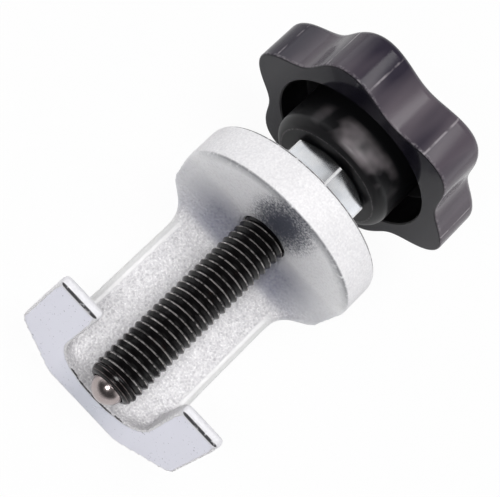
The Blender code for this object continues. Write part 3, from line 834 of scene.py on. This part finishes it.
def moulded_plastic():
    """Black plastic: a glossy hazed grip with mould seams painted as highlights, painted highlights in its
    valleys, a dark face below and a painted highlight on the boss's top.
    """
    black, grip_black, face_black = (0.0050, 0.0048, 0.0056), (0.030, 0.025, 0.038), (0.010, 0.009, 0.015)
    hazed, painted_valley_highlight, painted_seam_highlight = (0.100, 0.083, 0.100), (0.20, 0.17, 0.19), (0.32, 0.29, 0.31)
    worn_rim, painted_boss_highlight, flash_grey = (0.24, 0.22, 0.235), (0.32, 0.285, 0.30), (0.16, 0.145, 0.15)
    grip_start, grip_full = 18.2 * MM, 20.5 * MM
    flash_radius = 11.2 * MM
    seam_turn = 0.30

    place = start_finish("black moulded plastic")
    facing = place.node("ShaderNodeTexCoord", output="Normal")
    lying = abs(facing.part("Y"))
    across = place.part("X")
    along = place.part("Y")
    height = place.part("Z")
    from_axis = distance_from_axis(place)
    mould = place.noise(0.35 * MM, 2.0)
    flow = place.drawn_out((1.0, 0.25, 1.0)).noise(6.5 * MM, 2.0)
    grip = from_axis.rise(grip_start, grip_full) * (1.0 - lying.rise(0.55, 0.85))
    # The grey haze follows the flow noise and grows lighter towards +X.
    haze = (flow + across * 5.0).rise(0.37, 0.68) * grip
    lobe_turn = (height - AXIS_HEIGHT).math("ARCTAN2", across) * (LOBES / (2 * math.pi)) + LOBES
    from_valley = abs(lobe_turn.math("FRACT") - 0.5)
    # Painted highlight: the valleys between the lobes are made lighter where a highlight would fall.
    valley_highlight = from_valley.rise(0.24, 0.04) * grip
    # Thin lines on the lobes' shoulders, where mould seams run, are painted lighter as highlights.
    seam_highlight = abs(from_valley - seam_turn).rise(0.010, 0.003) * grip
    rim_face = abs(along - KNOB_RIM).rise(0.6 * MM, 0.3 * MM) * lying.rise(0.85, 0.95)
    rim_wear = along.rise(KNOB_RIM + 0.75 * MM, KNOB_RIM + 0.35 * MM) * grip
    rim_wear *= place.noise(0.8 * MM, 3.0, 0.7).rise(0.46, 0.60)
    boss_side = 1.0 - along.rise(KNOB_RIM - 1.5 * MM, KNOB_RIM)
    raised = facing.part("Z").rise(0.60, 0.98)
    # Painted highlight: soft grey blotches on the part of the boss that faces up.
    boss_sheen = place.noise(6.0 * MM, 2.0, 0.5).rise(0.42, 0.68) * boss_side * raised
    flash = abs(from_axis - flash_radius).rise(0.22 * MM, 0.08 * MM) * boss_side
    colour = grip.mix(black, grip_black)
    colour = haze.mix(colour, hazed)
    colour = (valley_highlight * 0.45).mix(colour, painted_valley_highlight)
    colour = (rim_face * 0.9).mix(colour, face_black)
    colour = (rim_wear * 0.6).mix(colour, worn_rim)
    colour = (boss_sheen * 0.7).mix(colour, painted_boss_highlight)
    colour = (flash * mould.rise(0.35, 0.60) * 0.5).mix(colour, flash_grey)
    colour = (seam_highlight * place.noise(3.0 * MM, 2.0).rise(0.40, 0.55) * 0.8).mix(colour, painted_seam_highlight)
    shader = place.node(
        "ShaderNodeBsdfPrincipled",
        None,
        {
            "Base Color": colour,
            "Roughness": 0.34 - grip * 0.20 + haze * 0.06 - rim_face * 0.26,
            "Specular IOR Level": 0.24,
            "Normal": mould.relief(0.10, 0.03 * MM),
        },
    )
    return place, shader


lay_finish(knob, *moulded_plastic())
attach(knob, "screw_set")
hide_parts("star_knob")


# Bush: a turned and grooved brass insert that the knob is moulded round, screwed on the shank.
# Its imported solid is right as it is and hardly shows, so it only gets its finish.
def turned_brass():
    """Brass with fine turning rings and a light tarnish."""
    dark_brass, light_brass = (0.62, 0.44, 0.18), (0.80, 0.62, 0.30)

    place = start_finish("turned brass")
    rings = place.drawn_out((0.1, 1.0, 0.1)).noise(0.12 * MM, 2.0)
    tarnish = place.noise(2.0 * MM, 3.0)
    shader = place.node(
        "ShaderNodeBsdfPrincipled",
        None,
        {
            "Base Color": tarnish.mix(dark_brass, light_brass),
            "Metallic": 1.0,
            "Roughness": 0.24 + tarnish * 0.2,
            "Normal": rings.relief(0.2, 0.02 * MM),
        },
    )
    return place, shader


lay_finish(frame["nodes"]["knob_bush"], *turned_brass())


# Studio: a plain white table top under the tool, a white room, and two soft lamps overhead.
# The table is tipped to meet the two places the tool rests on, the knob's lobes and the head's back edge.
FLOOR_SIZE = 0.60
FLOOR_FRONT = -0.13
FLOOR_MIDDLE = FLOOR_FRONT + FLOOR_SIZE / 2
FLOOR_GAP = 0.05 * MM
REST_RISE = BODY_LOW.z / (KNOB_RIM - HEAD_UNDERSIDE)
bpy.ops.object.select_all(action="DESELECT")
bpy.ops.mesh.primitive_plane_add(
    size=FLOOR_SIZE,
    location=(0.0, FLOOR_MIDDLE, -FLOOR_GAP - (FLOOR_MIDDLE - KNOB_RIM) * REST_RISE),
    rotation=(-math.atan(REST_RISE), 0.0, 0.0),
)
table_top = bpy.context.object
table_top.name = "table_top"


def white_table():
    """White paper that takes a faint shadow and shows white to the camera and in bright metal."""
    white = (1.0, 1.0, 1.0, 1.0)
    seen_share, mirrored_share = 0.955, 0.30

    place = start_finish("white table")
    seen = place.node("ShaderNodeLightPath", output="Is Camera Ray")
    mirrored = place.node("ShaderNodeLightPath", output="Is Glossy Ray")
    paper = place.noise(40 * MM, 2.0).mix((0.86, 0.86, 0.86), (0.88, 0.88, 0.88))
    matt = place.node("ShaderNodeBsdfDiffuse", None, {"Color": paper})
    lit = place.node("ShaderNodeEmission", None, {"Color": white, "Strength": 1.0})
    glow = seen * seen_share + mirrored * mirrored_share
    return place, place.node("ShaderNodeMixShader", None, {0: glow, 1: matt, 2: lit})


lay_finish(table_top, *white_table())

# The room is white to the camera. As light it is dim above and brighter near the floor and behind the tool.
world = bpy.data.worlds.new("white room")
world.use_nodes = True
world.node_tree.nodes.clear()
bpy.context.scene.world = world
room = Strand(world.node_tree, None).node("ShaderNodeTexCoord", output="Generated")
seen = room.node("ShaderNodeLightPath", output="Is Camera Ray")
near_floor = room.part("Z").rise(0.28, 0.0)
behind = room.part("Y").rise(-0.35, 0.10)
aside = abs(room.part("X")).rise(0.55, 0.80)
level = 0.07 + near_floor * 0.60 + behind * (0.10 + aside * 0.80)
backdrop = room.node("ShaderNodeBackground", None, {"Color": (1.0, 1.0, 1.0, 1.0), "Strength": 1.0})
around = room.node("ShaderNodeBackground", None, {"Color": (0.97, 0.98, 1.0, 1.0), "Strength": level})
sky = room.node("ShaderNodeMixShader", None, {0: seen, 1: around, 2: backdrop})
room.node("ShaderNodeOutputWorld", None, {"Surface": sky})


def soft_lamp(name, place, size, watts):
    """Hangs a square soft lamp that points at the middle of the tool."""
    data = bpy.data.lights.new(name, "AREA")
    data.shape = "RECTANGLE"
    data.size = size
    data.size_y = size
    data.energy = watts
    lamp = bpy.data.objects.new(name, data)
    lamp.location = place
    aim = Vector((0.0, 0.0, AXIS_HEIGHT)) - Vector(place)
    lamp.rotation_euler = aim.to_track_quat("-Z", "Y").to_euler()
    bpy.context.scene.collection.objects.link(lamp)


soft_lamp("front_softbox", place=(-0.07, -0.22, 0.47), size=0.14, watts=0.92)
soft_lamp("overhead", place=(0.05, 0.16, 0.58), size=0.34, watts=1.62)

# Camera: set up as the photograph was taken, from above the open throat and rolled by half a right angle.
CAMERA_PLACE = (-0.02008, -0.08009, 0.25177)
CAMERA_TURN = (10.157, -17.272, 45.106)
CAMERA_LENS = 97.24
CAMERA_SENSOR = 36.0
CAMERA_NEAR = 0.01
camera_data = bpy.data.cameras.new("camera")
camera_data.sensor_fit = "HORIZONTAL"
camera_data.sensor_width = CAMERA_SENSOR
camera_data.lens = CAMERA_LENS
camera_data.clip_start = CAMERA_NEAR
camera = bpy.data.objects.new("camera", camera_data)
camera.location = CAMERA_PLACE
camera.rotation_euler = [math.radians(turn) for turn in CAMERA_TURN]
bpy.context.scene.collection.objects.link(camera)
bpy.context.scene.camera = camera
bpy.context.scene.view_settings.view_transform = "Standard"
